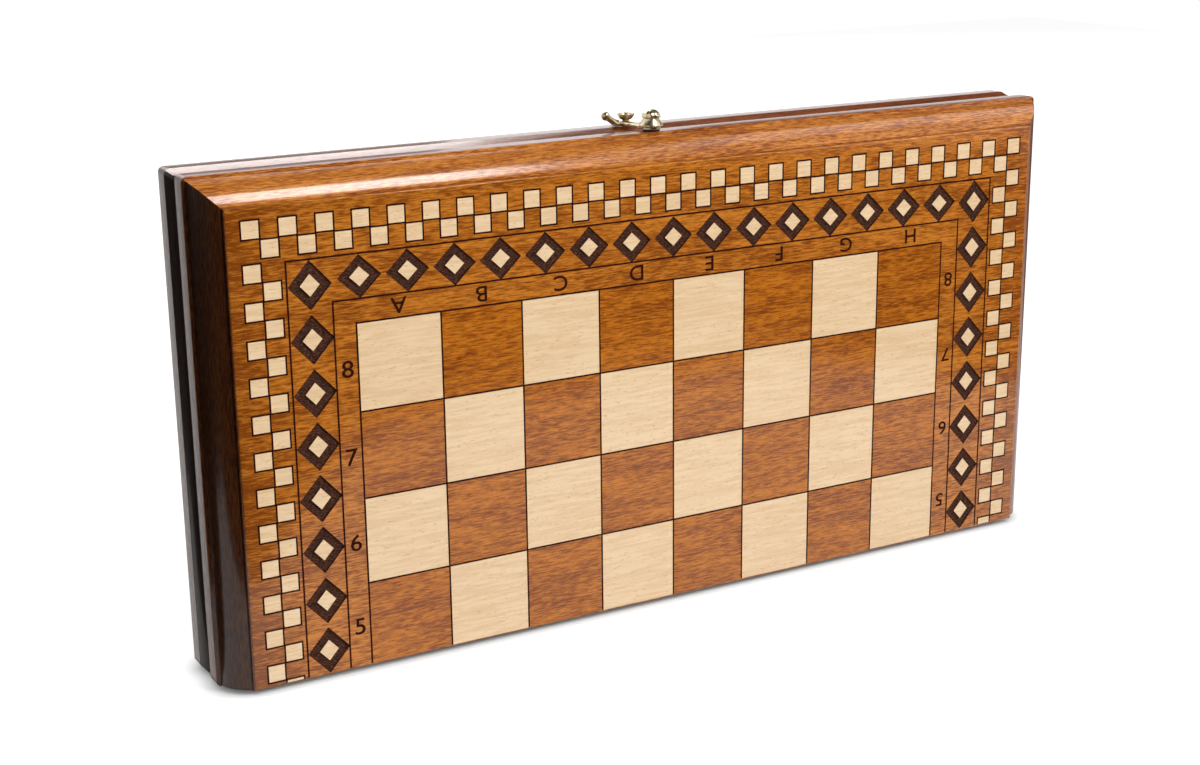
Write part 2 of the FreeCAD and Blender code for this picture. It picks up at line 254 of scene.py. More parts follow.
@dataclass(frozen=True)
class LacqueredBeech(Finish):
    """Planed beech under clear lacquer, bare or stained.

    Beech shows soft fibres and short ray flecks along the grain. Stain gathers in the fibres, the
    colour deepens towards the ends of a panel where an end span is given, and the lacquer over it gives
    a clear gloss.
    """

    name: str
    pale: str
    deep: str
    fleck: str
    grain: Grain = Grain.ALONG_X
    fleck_share: float = 0.4
    roughness: float = 0.36
    coat_roughness: float = 0.14
    coat: float = 0.85
    sheen: float = 0.15
    end_mm: Pair | None = None
    end_share: float = 0.08
    # Real fibres are under half a millimetre wide, so they are drawn coarser to show
    fibre_mm: Pair = (5.5, 0.6)
    cloud_mm: Pair = (60.0, 7.0)
    fleck_mm: Pair = (3.2, 0.6)
    cloud_share: float = 0.3
    octave_share: float = 0.6
    # Spans of the noise over which the colour and the gloss change
    depth_span: Pair = (0.4, 0.6)
    fleck_span: Pair = (0.63, 0.74)
    gloss_span: Pair = (0.3, 0.7)
    gloss_change: Pair = (-0.06, 0.08)
    bump: Pair = (0.1, 0.04)

    def pattern(self, tree: Tree, size_mm: Pair, detail: float) -> Socket:
        """Noise whose cells are stretched along the grain.

        Args:
            tree: node tree of the material.
            size_mm: cell size along and across the grain.
            detail: octaves of finer noise.

        Returns:
            The noise value, about 0.5 on average.
        """
        along, across = size_mm
        sizes = [along if axis == self.grain.value else across for axis in range(3)]
        return noise(tree, sizes, detail, self.octave_share)

    def deepened_at_ends(self, tree: Tree, figure: Socket) -> Socket:
        """Deepens the figure towards the panel's ends.

        Args:
            tree: node tree of the material.
            figure: stain depth so far.

        Returns:
            The figure, raised by the end share past the given distance from the middle.
        """
        if self.end_mm is None:
            return figure
        place = add(tree, "ShaderNodeTexCoord").outputs["Object"]
        along = add(tree, "ShaderNodeSeparateXYZ", {0: place}).outputs[0]
        span = (self.end_mm[0] * MM, self.end_mm[1] * MM)
        away = reckon(tree, "ABSOLUTE", along)
        return reckon(tree, "ADD", figure, spread(tree, away, span, (0, self.end_share), "SMOOTHSTEP"))

    def sockets(self, tree: Tree) -> dict:
        """Fibres and clouds choose between two depths of colour, and ray flecks lie over them.

        Args:
            tree: node tree of the material.

        Returns:
            Values and links of the shader, by socket name.
        """
        fibre = self.pattern(tree, self.fibre_mm, detail=2.0)
        cloud = self.pattern(tree, self.cloud_mm, detail=2.0)
        ray = self.pattern(tree, self.fleck_mm, detail=1.0)
        shares = {0: self.cloud_share, 2: fibre, 3: cloud}
        figure = add(tree, "ShaderNodeMix", shares, data_type="FLOAT").outputs[0]
        depth = spread(tree, self.deepened_at_ends(tree, figure), self.depth_span)
        ground = tinted(tree, depth, self.pale, self.deep)
        flecks = spread(tree, ray, self.fleck_span, (0, self.fleck_share), "SMOOTHSTEP")
        gloss = tuple(self.roughness + change for change in self.gloss_change)
        return {
            "Base Color": tinted(tree, flecks, ground, self.fleck),
            "Roughness": spread(tree, fibre, self.gloss_span, gloss),
            "Specular IOR Level": self.sheen,
            "Coat Weight": self.coat,
            "Coat Roughness": self.coat_roughness,
            "Normal": relief(tree, fibre, *self.bump),
        }


@dataclass(frozen=True)
class BurntBeech(Finish):
    """Beech burnt by engraving: dull dark brown, with lighter streaks where hard fibres stand."""

    name: str
    char: str
    fibre: str
    sheen: float = 0.25
    streak_mm: Triple = (1.6, 0.35, 0.35)
    streak_span: Pair = (0.45, 0.75)
    roughness: float = 0.7
    bump: Pair = (0.5, 0.12)

    def sockets(self, tree: Tree) -> dict:
        """Short streaks along the grain mix the char with the fibre colour and roughen it.

        Args:
            tree: node tree of the material.

        Returns:
            Values and links of the shader, by socket name.
        """
        streak = noise(tree, self.streak_mm, detail=3.0)
        return {
            "Base Color": tinted(tree, spread(tree, streak, self.streak_span), self.char, self.fibre),
            "Roughness": self.roughness,
            "Specular IOR Level": self.sheen,
            "Normal": relief(tree, streak, *self.bump),
        }


@dataclass(frozen=True)
class HandledMetal(Finish):
    """Turned or stamped metal that has been handled: bright, with cloudy tarnish and fine scratches."""

    name: str
    bright: str
    tarnish: str
    roughness: float
    cloud_mm: Triple = (3.0, 3.0, 3.0)
    cloud_span: Pair = (0.42, 0.72)
    scratch_mm: Triple = (4.0, 0.12, 0.12)
    gloss_change: Pair = (-0.08, 0.14)
    bump: Pair = (0.08, 0.03)

    def sockets(self, tree: Tree) -> dict:
        """Clouds mix the bright metal with its tarnish, and scratches vary the gloss.

        Args:
            tree: node tree of the material.

        Returns:
            Values and links of the shader, by socket name.
        """
        cloud = noise(tree, self.cloud_mm, detail=4.0)
        scratch = noise(tree, self.scratch_mm, detail=2.0)
        gloss = tuple(self.roughness + change for change in self.gloss_change)
        return {
            "Base Color": tinted(tree, spread(tree, cloud, self.cloud_span), self.bright, self.tarnish),
            "Metallic": 1.0,
            "Roughness": spread(tree, scratch, (0, 1), gloss),
            "Normal": relief(tree, scratch, *self.bump),
        }


# Stained and lacquered face and top rail: golden brown, darker where the stain gathers in the fibres;
# the face deepens towards its ends
STAINED_FACE = LacqueredBeech(
    "stained_beech_face", "#CE7E28", "#824008", "#642C08", end_mm=(195, 238), end_share=0.07
)
STAINED_TOP = LacqueredBeech("stained_beech_top", "#CE8438", "#844010", "#642C08")
# Squares of the field are stained once more, so they are deeper
STAINED_SQUARE = LacqueredBeech("stained_beech_square", "#C8761A", "#803C04", "#602805")
# Side rails carry less lacquer; their much darker colour is painted shade of the sides turned away from
# the light
STAINED_SIDE_PAINTED_SHADE = LacqueredBeech(
    "stained_beech_side_painted_shade", "#6C3A12", "#401A05", "#2A0E02", Grain.ALONG_Z, coat=0.6
)
# Strips and bevels along the top of the seam are redder and keep the full gloss
STAINED_RIM = LacqueredBeech("stained_beech_rim", "#94502A", "#5E2A12", "#3C170A", coat=1.0, sheen=0.4)
# Strips of the sides carry a thinner coat, so they shine less
STAINED_STRIP = LacqueredBeech(
    "stained_beech_strip", "#A8642A", "#6A3310", "#4A1E06", Grain.ALONG_Z, coat_roughness=0.2, coat=0.33
)
# End grain soaks up more stain and stays dull
STAINED_END = LacqueredBeech(
    "stained_beech_end", "#4A2612", "#331709", "#200D05", roughness=0.6, coat_roughness=0.4, coat=0.2
)
# The side bevels of the seam are drawn near black and dull: painted shade of the groove between the
# halves
SEAM_BEVEL_PAINTED_SHADE = LacqueredBeech(
    "stained_beech_seam_painted_shade", "#30170A", "#200D05", "#140703", Grain.ALONG_Z,
    roughness=0.5, coat=0.25, sheen=0.05,
)
# Unstained squares: smooth cream beech with faint streaks and ray flecks
BARE_BEECH = LacqueredBeech(
    "bare_beech", "#F4D6AE", "#EAC79C", "#D49C5E",
    fleck_share=0.6, fibre_mm=(16, 1.4), cloud_mm=(90, 14),
)
# Inside rails left plain under one thin coat of lacquer
PLAIN_BEECH = LacqueredBeech(
    "plain_beech", "#CC9A64", "#B57F49", "#8C5A2E", roughness=0.45, coat_roughness=0.3, coat=0.3
)
# Burnt engraving of the lozenges, and the finer burnt lines
BURNT_LOZENGE = BurntBeech("burnt_beech_lozenge", "#2E1A13", "#744A38", 0.1)
BURNT_LINE = BurntBeech("burnt_beech_line", "#28100A", "#4A2012", 0.05)
# Dark stained backgammon points
DARK_POINT = LacqueredBeech("dark_stained_beech", "#5A3018", "#42200F", "#2A1208")
# Polished cast brass, pale with brown tarnish, and near-black brass of the washers
CLASP_BRASS = HandledMetal("polished_cast_brass", "#E6D3B0", "#97805A", 0.27)
BLACK_BRASS = HandledMetal("near_black_brass", "#2C2824", "#15110E", 0.3)
# Yellower stamped brass of the hinges and their screws, and the drawn steel of their pins
HINGE_BRASS = HandledMetal("stamped_brass", "#C9A75C", "#8F6F38", 0.32)
SCREW_BRASS = HandledMetal("turned_brass", "#C4A055", "#866632", 0.3)
PIN_STEEL = HandledMetal("drawn_steel", "#B8B6B0", "#7C7A76", 0.3)


def pairs(first: float | Array, second: float | Array) -> Array:
    """Pairs up two rows of numbers, with a single number repeated."""
    return np.stack(np.broadcast_arrays(first, second), axis=-1)


def ring_faces(rings: int, around: int, closed: bool = False) -> Array:
    """Quads between the rows of a grid whose columns wrap round.

    Args:
        rings: rows of points.
        around: points in a row.
        closed: whether the last row joins the first.

    Returns:
        Corner indices, four to a face.
    """
    row = np.arange(rings if closed else rings - 1)[:, None]
    column = np.arange(around)[None, :]
    below = row * around
    above = (row + 1) % rings * around
    beside = (column + 1) % around
    corners = [below + column, below + beside, above + beside, above + column]
    return np.stack(corners, axis=-1).reshape(-1, 4)


def joined(parts: list[Mesh]) -> Mesh:
    """Puts several meshes into one.

    Args:
        parts: points and faces of each.

    Returns:
        Points and faces of all.
    """
    faces, start = [], 0
    for points, corners in parts:
        faces += [[start + corner for corner in face] for face in corners]
        start += len(points)
    return np.vstack([points for points, _ in parts]), faces


def eased(corners: Array, ease: Array, steps: int = 4) -> Array:
    """Closed outline whose corners are softened.

    A corner C becomes the curve (1-s)^2 P + 2 s (1-s) C + s^2 N, where P and N stand an ease length
    from C on its two sides. An ease of zero keeps the corner.

    Args:
        corners: outline points, two numbers each.
        ease: ease length of each corner.
        steps: straight runs in each softened corner.

    Returns:
        The outline with its softened corners.
    """
    before = np.roll(corners, 1, axis=0) - corners
    after = np.roll(corners, -1, axis=0) - corners
    before *= (ease / np.linalg.norm(before, axis=1))[:, None]
    after *= (ease / np.linalg.norm(after, axis=1))[:, None]
    s = np.linspace(0, 1, steps + 1)[None, :, None]
    curve = corners[:, None] + (1 - s) ** 2 * before[:, None] + s**2 * after[:, None]
    points = curve.reshape(-1, 2)
    return points[np.linalg.norm(points - np.roll(points, 1, axis=0), axis=1) > WELD]


def arc(centre: Pair, radius: float, first: float, last: float, steps: int) -> Array:
    """Points of a circular arc, centre + radius (cos t, sin t), both ends included.

    Args:
        centre: middle of the circle.
        radius: its radius.
        first: angle of the first point in degrees.
        last: angle of the last point in degrees.
        steps: runs that the arc is divided in.

    Returns:
        The points of the arc.
    """
    angle = np.radians(np.linspace(first, last, steps + 1))
    return np.asarray(centre) + radius * pairs(np.cos(angle), np.sin(angle))


def turned(profile: Array, around: int, flutes: int = 0, flute_depth: float = 0.0) -> Array:
    """Surface of revolution about the third axis, fluted where asked.

    Args:
        profile: radius and height of each ring.
        around: points in a ring.
        flutes: waves round the piece.
        flute_depth: height of the waves as a share of the radius.

    Returns:
        Points by ring and angle, x = r cos t, y = r sin t, z = height, with r scaled by the waves.
    """
    angle = np.linspace(0, 2 * math.pi, around, endpoint=False)[None, :]
    radius = profile[:, :1] * (1 - flute_depth / 2 + flute_depth / 2 * np.cos(flutes * angle))
    height = np.broadcast_to(profile[:, 1:], (len(profile), around))
    return np.stack([radius * np.cos(angle), radius * np.sin(angle), height], axis=-1)


def make_piece(
    name: str,
    points: Array,
    faces: list,
    finishes: list[Finish],
    body: str,
    slot: str,
    stands_for: tuple[str, ...] = (),
    marks: Array | None = None,
) -> None:
    """Puts worked-out points into a mesh that rides on a body.

    Args:
        name: name of the piece.
        points: places in millimetres, in the frame of the box.
        faces: corner indices of each face.
        finishes: finishes by material index.
        body: moving body that carries the piece.
        slot: material slot of the record; not used.
        stands_for: nodes of the frame that the piece replaces.
        marks: material index of each face.
    """
    mesh = bpy.data.meshes.new(name)
    mesh.from_pydata((points.reshape(-1, 3) * MM).tolist(), [], faces)
    for finish in finishes:
        mesh.materials.append(finish.material())
    if marks is not None:
        mesh.polygons.foreach_set("material_index", marks)
    work = bmesh.new()
    work.from_mesh(mesh)
    bmesh.ops.remove_doubles(work, verts=work.verts, dist=WELD)
    bmesh.ops.recalc_face_normals(work, faces=work.faces)
    work.to_mesh(mesh)
    work.free()
    mesh.shade_smooth()
    mesh.set_sharp_from_angle(angle=SHARP_ANGLE)
    piece = bpy.data.objects.new(name, mesh)
    bpy.context.scene.collection.objects.link(piece)
    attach(piece, body)
    if stands_for:
        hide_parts(*stands_for)
    LOG.info("%s: %d faces on %s", name, len(mesh.polygons), body)


@dataclass(frozen=True)
class BoxPlaces:
    """Main places of the box in millimetres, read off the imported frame."""

    bottom: float
    face_half: float
    face_top: float
    half_depth: float
    panel_thickness: float
    half_length: float
    top: float
    panel_arris: float = 1.2

    @classmethod
    def from_frame(cls) -> "BoxPlaces":
        """Reads the boxes of the front panel and of two of the front rails.

        Returns:
            The places.
        """
        panel_low, panel_high = np.array(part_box("front_panel")) / MM
        _, rail_high = np.array(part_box("front_top_rail")) / MM
        side_low, _ = np.array(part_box("front_left_rail")) / MM
        return cls(
            bottom=panel_low[2],
            face_half=panel_high[0] - cls.panel_arris,
            face_top=panel_high[2] - cls.panel_arris,
            half_depth=-panel_low[1],
            panel_thickness=panel_high[1] - panel_low[1],
            half_length=-side_low[0],
            top=rail_high[2],
        )


@dataclass
class MouldedFrame:
    """Three mitred rails of one half: quirk, crowned moulding, fillet, strip and bevelled rim."""

    places: BoxPlaces
    half: Half
    panel_fit: float = 0.15
    quirk_width: float = 1.0
    quirk_depth: float = 1.9
    moulding_run: float = 10.9
    moulding_fall: float = 12.0
    moulding_crown: float = 2.0
    strip_width: float = 9.3
    rim_bevel_drop: float = 2.2
    rim_gap: float = 0.06
    ledge_width: float = 7.0
    top_corner_radius: float = 3.0
    corner_reach: float = 1.3
    corner_rings: int = 9
    hinge_corner_radius: float = 3.0
    end_bevel: float = 1.3
    arris: float = 0.45
    inner_arris: float = 0.2
    crown_steps: int = 28
    heart: Pair = (5.0, 18.0)
    shrink: tuple[float, ...] = (0, 0.3, 0.55, 0.75, 0.86, 0.91, 0.94, 0.96, 0.98, 0.993, 1)

    @property
    def strip_out(self) -> float:
        """Offset of the strip out of the face edge."""
        return self.places.half_length - self.places.face_half

    def moulding_ends(self) -> tuple[Array, Array]:
        """Offset and depth of the crowned moulding's two ends."""
        start = np.array([self.places.panel_arris + self.quirk_width, self.quirk_depth])
        return start, start + (self.moulding_run, self.moulding_fall)

    def crown_circle(self) -> tuple[Array, float]:
        """Circle of the moulding, which rises by the crown over the line between its ends.

        With a line of length L and a rise h, the radius is (L^2 / 4 + h^2) / 2 h.

        Returns:
            Centre and radius.
        """
        start, end = self.moulding_ends()
        chord = end - start
        length = np.linalg.norm(chord)
        radius = (length**2 / 4 + self.moulding_crown**2) / (2 * self.moulding_crown)
        out = np.array([chord[1], -chord[0]]) / length
        return (start + end) / 2 - (radius - self.moulding_crown) * out, radius

    def section(self) -> Array:
        """Section of a rail, from the ledge over quirk, crown and strip to the rim.

        Returns:
            Offset out of the face edge and depth behind the face of each point.
        """
        start, end = self.moulding_ends()
        centre, radius = self.crown_circle()
        first, last = (math.degrees(math.atan2(*(point - centre)[::-1])) for point in (start, end))
        crown = arc(centre, radius, first, last, self.crown_steps)[1:-1]
        rabbet = self.places.panel_arris + self.panel_fit
        inner = self.places.panel_arris - self.ledge_width
        rim = self.places.half_depth - self.rim_gap
        thickness = self.places.panel_thickness
        before = [(inner, thickness), (rabbet, thickness), (rabbet, self.quirk_depth), start]
        after = [
            end,
            (self.strip_out, end[1]),
            (self.strip_out, end[1] + self.strip_width),
            (self.strip_out - self.rim_bevel_drop, rim),
            (inner, rim),
        ]
        ease_before = [self.inner_arris, 0, 0, self.inner_arris]
        ease_after = [self.inner_arris] + [self.arris] * 4
        corners = np.vstack([before, crown, after])
        return eased(corners, np.array(ease_before + [0] * len(crown) + ease_after))

    def lower_end(self, out: Array, deep: Array) -> Array:
        """Height of a side rail's lower end: flat, bevelled along the crown, round at the outer corner.

        The bevel rises by as much as a point lies within its width of the crown's circle. The corner is
        a quarter circle, r - sqrt(r^2 - past^2), of the distance past its start.

        Args:
            out: offset of each point out of the face edge.
            deep: depth of each point behind the face.

        Returns:
            The higher of the two at each point.
        """
        start, end = self.moulding_ends()
        centre, crown_radius = self.crown_circle()
        chord = end - start
        length = np.linalg.norm(chord)
        from_out, from_deep = out - centre[0], deep - centre[1]
        under = crown_radius - np.hypot(from_out, from_deep)
        beside = np.abs(from_out * chord[0] + from_deep * chord[1]) / length
        bevel = np.where(beside < length / 2, np.clip(self.end_bevel - under, 0, self.end_bevel), 0)
        radius = self.hinge_corner_radius
        past = np.clip(self.places.face_half + out - (self.places.half_length - radius), 0, radius)
        corner = radius - np.sqrt(radius**2 - past**2)
        return self.places.bottom + np.maximum(bevel, corner)

    def round_top_corner(self, across: Array, up: Array) -> tuple[Array, Array]:
        """Pulls what stands outside the rounded top corner back on to its arc.

        Args:
            across: distance from the middle of the box.
            up: height.

        Returns:
            Both, changed only beyond the arc's centre.
        """
        radius = self.top_corner_radius
        from_x = across - (self.places.half_length - radius)
        from_z = up - (self.places.top - radius)
        reach = np.hypot(from_x, from_z)
        outside = (from_x > 0) & (from_z > 0) & (reach > radius)
        share = np.where(outside, radius / np.maximum(reach, WELD), 1)
        return across + (share - 1) * from_x, up + (share - 1) * from_z

    def rail_points(self, side: Side) -> Array:
        """Rings of one rail, from the heart of one end along the rail to the heart of the other.

        An end shrinks the section towards its heart in steps, so that it is closed by the same grid.

        Args:
            side: which rail.

        Returns:
            Points by ring and section point.
        """
        section = self.section()
        heart = np.array(self.heart)
        shrink = np.array(self.shrink)
        near = np.linspace(0, self.corner_reach * self.top_corner_radius, self.corner_rings)
        cap = heart + shrink[:, None, None] * (section - heart)
        walk = np.broadcast_to(section, (len(near), *section.shape))
        mitre = np.concatenate([near[::-1], np.zeros(len(shrink))])[:, None]
        closing = np.concatenate([walk, cap[::-1]])
        across = self.places.face_half + closing[..., 0] - mitre
        if side is Side.TOP:
            grid = np.concatenate([closing[::-1], closing])
            x = np.concatenate([-across[::-1], across])
            z = self.places.face_top + grid[..., 0]
            reach, z = self.round_top_corner(np.abs(x), z)
            x = np.sign(x) * reach
        else:
            grid = np.concatenate([cap, closing])
            low = self.lower_end(cap[..., 0], cap[..., 1])
            high = self.places.face_top + closing[..., 0] - mitre
            z = np.concatenate([low, high])
            reach, z = self.round_top_corner(self.places.face_half + grid[..., 0], z)
            x = side.value * reach
        y = self.half.value * (self.places.half_depth - grid[..., 1])
        return np.stack([x, y, z], axis=-1)

    def section_marks(self) -> Array:
        """Tells the strip and the bevel of the section from the rest by their place.

        Returns:
            Finish index of each run of the section.
        """
        section = self.section()
        middle = (section + np.roll(section, -1, axis=0)) / 2
        strip_end = self.moulding_ends()[1][1] + self.strip_width
        past = (middle[:, 1] > strip_end) & (middle[:, 0] > self.strip_out - self.rim_bevel_drop)
        strip = middle[:, 0] > self.strip_out - self.arris / 2
        return np.where(past, Run.BEVEL.value, np.where(strip, Run.STRIP.value, Run.MOULDING.value))

    def build(self) -> None:
        """Makes the three rails in place of the frame's own."""
        for side in Side:
            points = self.rail_points(side)
            faces = ring_faces(*points.shape[:2]).tolist()
            marks = np.tile(self.section_marks(), len(points) - 1)
            if side is Side.TOP:
                finishes = [STAINED_TOP, STAINED_END, STAINED_RIM, STAINED_RIM]
            else:
                # Sides: the darker colour is painted shade, and the near-black seam bevels are painted
                # shade of the groove
                finishes = [STAINED_SIDE_PAINTED_SHADE, STAINED_END, STAINED_STRIP, SEAM_BEVEL_PAINTED_SHADE]
                marks[: (len(self.shrink) - 1) * points.shape[1]] = Run.END.value
            name = f"{self.half.prefix}_{side.name.lower()}_rail"
            made = name + "_moulded"
            make_piece(made, points, faces, finishes, self.half.body, "stained_frame", (name,), marks)


@dataclass
class ChessField:
    """Layout of the chess field and its border on one half, in millimetres.

    Places are x along the box and z above the floor. Rows are counted up from the hinge edge.
    """

    places: BoxPlaces
    half: Half
    square: float = 43.7
    columns: int = 8
    rows: int = 4
    hinge_arris: float = 1.0
    line: float = 0.88
    line_sides: Pair = (11.3, 33.3)
    line_tops: Pair = (11.7, 33.3)
    chequer_cell: float = 9.0
    chequer_pitch: float = 17.92
    chequer_count: int = 26
    chequer_rows_top: Pair = (49.8, 40.5)
    chequer_rows_side: Pair = (49.4, 40.1)
    chequer_column_drop: float = 20.4
    lozenge_side: float = 22.1
    lozenge_top: float = 22.3
    lozenge_corner: float = 20.9
    lozenge_side_pitch: float = 26.1
    lozenge_side_count: int = 8
    lozenge_top_count: int = 15
    lozenge_top_half: Pair = (11.2, 10.6)
    lozenge_side_half: Pair = (10.9, 12.0)
    lozenge_heart: float = 0.45
    glyph_height: float = 7.8
    left_glyph_height: float = 8.5
    glyph_top: float = 5.9
    glyph_left: float = 5.4
    glyph_right: float = 6.0

    @property
    def field_half(self) -> float:
        """Half the length of the chess field."""
        return self.square * self.columns / 2

    @property
    def field_top(self) -> float:
        """Height of the chess field's far edge."""
        return self.places.bottom + self.square * self.rows

    def boxes(self, low: Array, high: Array) -> Array:
        """Rectangles between opposite corners, cut off where the flat of the face starts.

        Args:
            low: left lower corners.
            high: right upper corners.

        Returns:
            Four corners of each rectangle.
        """
        left, right, top = low[:, 0], high[:, 0], high[:, 1]
        bottom = np.maximum(low[:, 1], self.places.bottom + self.hinge_arris)
        corners = [pairs(left, bottom), pairs(right, bottom), pairs(right, top), pairs(left, top)]
        return np.stack(corners, axis=1)

    def squares(self, bare: bool) -> Array:
        """Every second square of the half, with the first square of the board stained.

        Args:
            bare: whether the bare or the stained squares are wanted.

        Returns:
            Four corners of each square.
        """
        column, row = np.meshgrid(np.arange(self.columns), np.arange(self.rows), indexing="ij")
        chosen = ((column + row) % 2 == 1) == (bare == (self.half is Half.FRONT))
        left = column[chosen] * self.square - self.field_half
        low = pairs(left, row[chosen] * self.square + self.places.bottom)
        return self.boxes(low, low + self.square)

    def lines(self) -> tuple[Array, Array]:
        """Burnt lines of the field and its two frames.

        Returns:
            Four corners of each upright line, and of each level one.
        """
        half = self.line / 2
        bottom = self.places.bottom
        inner, outer = (self.field_half + side for side in self.line_sides)
        frame_tops = [self.field_top + top for top in self.line_tops]
        field_x = np.arange(self.columns + 1) * self.square - self.field_half
        upright_x = np.concatenate([field_x, [-inner, inner, -outer, outer]])
        tops = np.concatenate([np.full(len(field_x), self.field_top), np.repeat(frame_tops, 2)])
        upright = self.boxes(pairs(upright_x - half, bottom), pairs(upright_x + half, tops + half))
        level_z = np.concatenate([bottom + np.arange(1, self.rows + 1) * self.square, frame_tops])
        reach = np.concatenate([np.full(self.rows, self.field_half), [inner, outer]])
        level = self.boxes(pairs(-reach - half, level_z - half), pairs(reach + half, level_z + half))
        return upright, level

    def chequers(self) -> Array:
        """Small border squares: two staggered rows on top, two columns at each side.

        Returns:
            Centre of each square.
        """
        pitch = self.chequer_pitch
        reach = pitch * (self.chequer_count - 1) / 2
        first = np.linspace(-reach, reach, self.chequer_count)
        rows = zip((first, first[:-1] + pitch / 2), self.chequer_rows_top)
        centres = [pairs(x, self.field_top + z) for x, z in rows]
        fall = np.arange(self.chequer_count) * pitch
        for sign, drop in ((-1, self.chequer_column_drop), (1, pitch)):
            for place, delay in zip(self.chequer_rows_side, (0, pitch / 2)):
                z = self.field_top + self.chequer_rows_top[0] - drop - delay - fall
                z = z[z > self.places.bottom - self.chequer_cell / 4]
                centres.append(pairs(sign * (self.field_half + place), z))
        return np.vstack(centres)

    def chequer_boxes(self, half: float) -> Array:
        """Border squares of a half width round their centres."""
        centres = self.chequers()
        return self.boxes(centres - half, centres + half)

    def diamonds(self, share: float) -> Array:
        """Engraved lozenges, down both sides and along the top.

        Args:
            share: share of their full diagonals.

        Returns:
            Four corners of each lozenge.
        """
        side_x = self.field_half + self.lozenge_side
        fall = np.arange(self.lozenge_side_count) * self.lozenge_side_pitch
        side_z = self.field_top + self.lozenge_corner - fall
        row_x = np.linspace(-side_x, side_x, self.lozenge_top_count + 2)[1:-1]
        row = pairs(row_x, self.field_top + self.lozenge_top)
        turns = np.array([(-1, 0), (0, -1), (1, 0), (0, 1)])
        return np.vstack(
            [
                centres[:, None] + share * np.array(half) * turns
                for centres, half in (
                    (pairs(-side_x, side_z), self.lozenge_side_half),
                    (pairs(side_x, side_z), self.lozenge_side_half),
                    (row, self.lozenge_top_half),
                )
            ]
        )

    def glyphs(self) -> list[tuple[str, float, float, float]]:
        """Coordinates beside the field.

        The letters run along the clasp edge and the numbers down both sides, as on any chess board, so
        that each player reads their own from the unfolded board.

        Returns:
            Sign, x, z and height of each, the height negative where it hangs head down.
        """
        signs = []
        for column in range(self.columns):
            x = (column + 0.5) * self.square - self.field_half
            z = self.field_top + self.glyph_top
            signs.append((chr(ord("A") + column), x, z, -self.glyph_height))
        left, right = -self.field_half - self.glyph_left, self.field_half + self.glyph_right
        upright = -self.half.value
        for row in range(self.rows):
            value = str(self.rows + 1 + row if self.half is Half.FRONT else self.rows - row)
            z = self.places.bottom + (row + 0.5) * self.square
            signs.append((value, left, z, upright * self.left_glyph_height))
            signs.append((value, right, z, -upright * self.glyph_height))
        return signs


@dataclass
class Surface:
    """An upright face of the box: its place in depth and the way it looks."""

    depth: float
    outward: int

    def lift(self, flat: Array, height: float | Array) -> Array:
        """Places x, z points a height above the face.

        Args:
            flat: x and z of each point.
            height: distance out of the face.

        Returns:
            The points in the frame of the box.
        """
        y = np.broadcast_to(self.depth + self.outward * height, flat.shape[:-1])
        return np.stack([flat[..., 0], y, flat[..., 1]], axis=-1)

    def plates(self, outlines: Array, sunk: float, proud: float) -> Mesh:
        """Thin closed prisms let into the face.

        Args:
            outlines: corner points by plate.
            sunk: how far each plate goes into the face.
            proud: how far it stands out of it.

        Returns:
            Points and faces of all plates.
        """
        count, corners = outlines.shape[:2]
        points = np.stack([self.lift(outlines, -sunk), self.lift(outlines, proud)], axis=1)
        first = np.arange(count)[:, None] * 2 * corners
        around = np.arange(corners)
        walls = (first[:, :, None] + ring_faces(2, corners)[None]).reshape(-1, 4)
        caps = np.concatenate([first + around, first + around + corners])
        return points.reshape(-1, 3), walls.tolist() + caps.tolist()


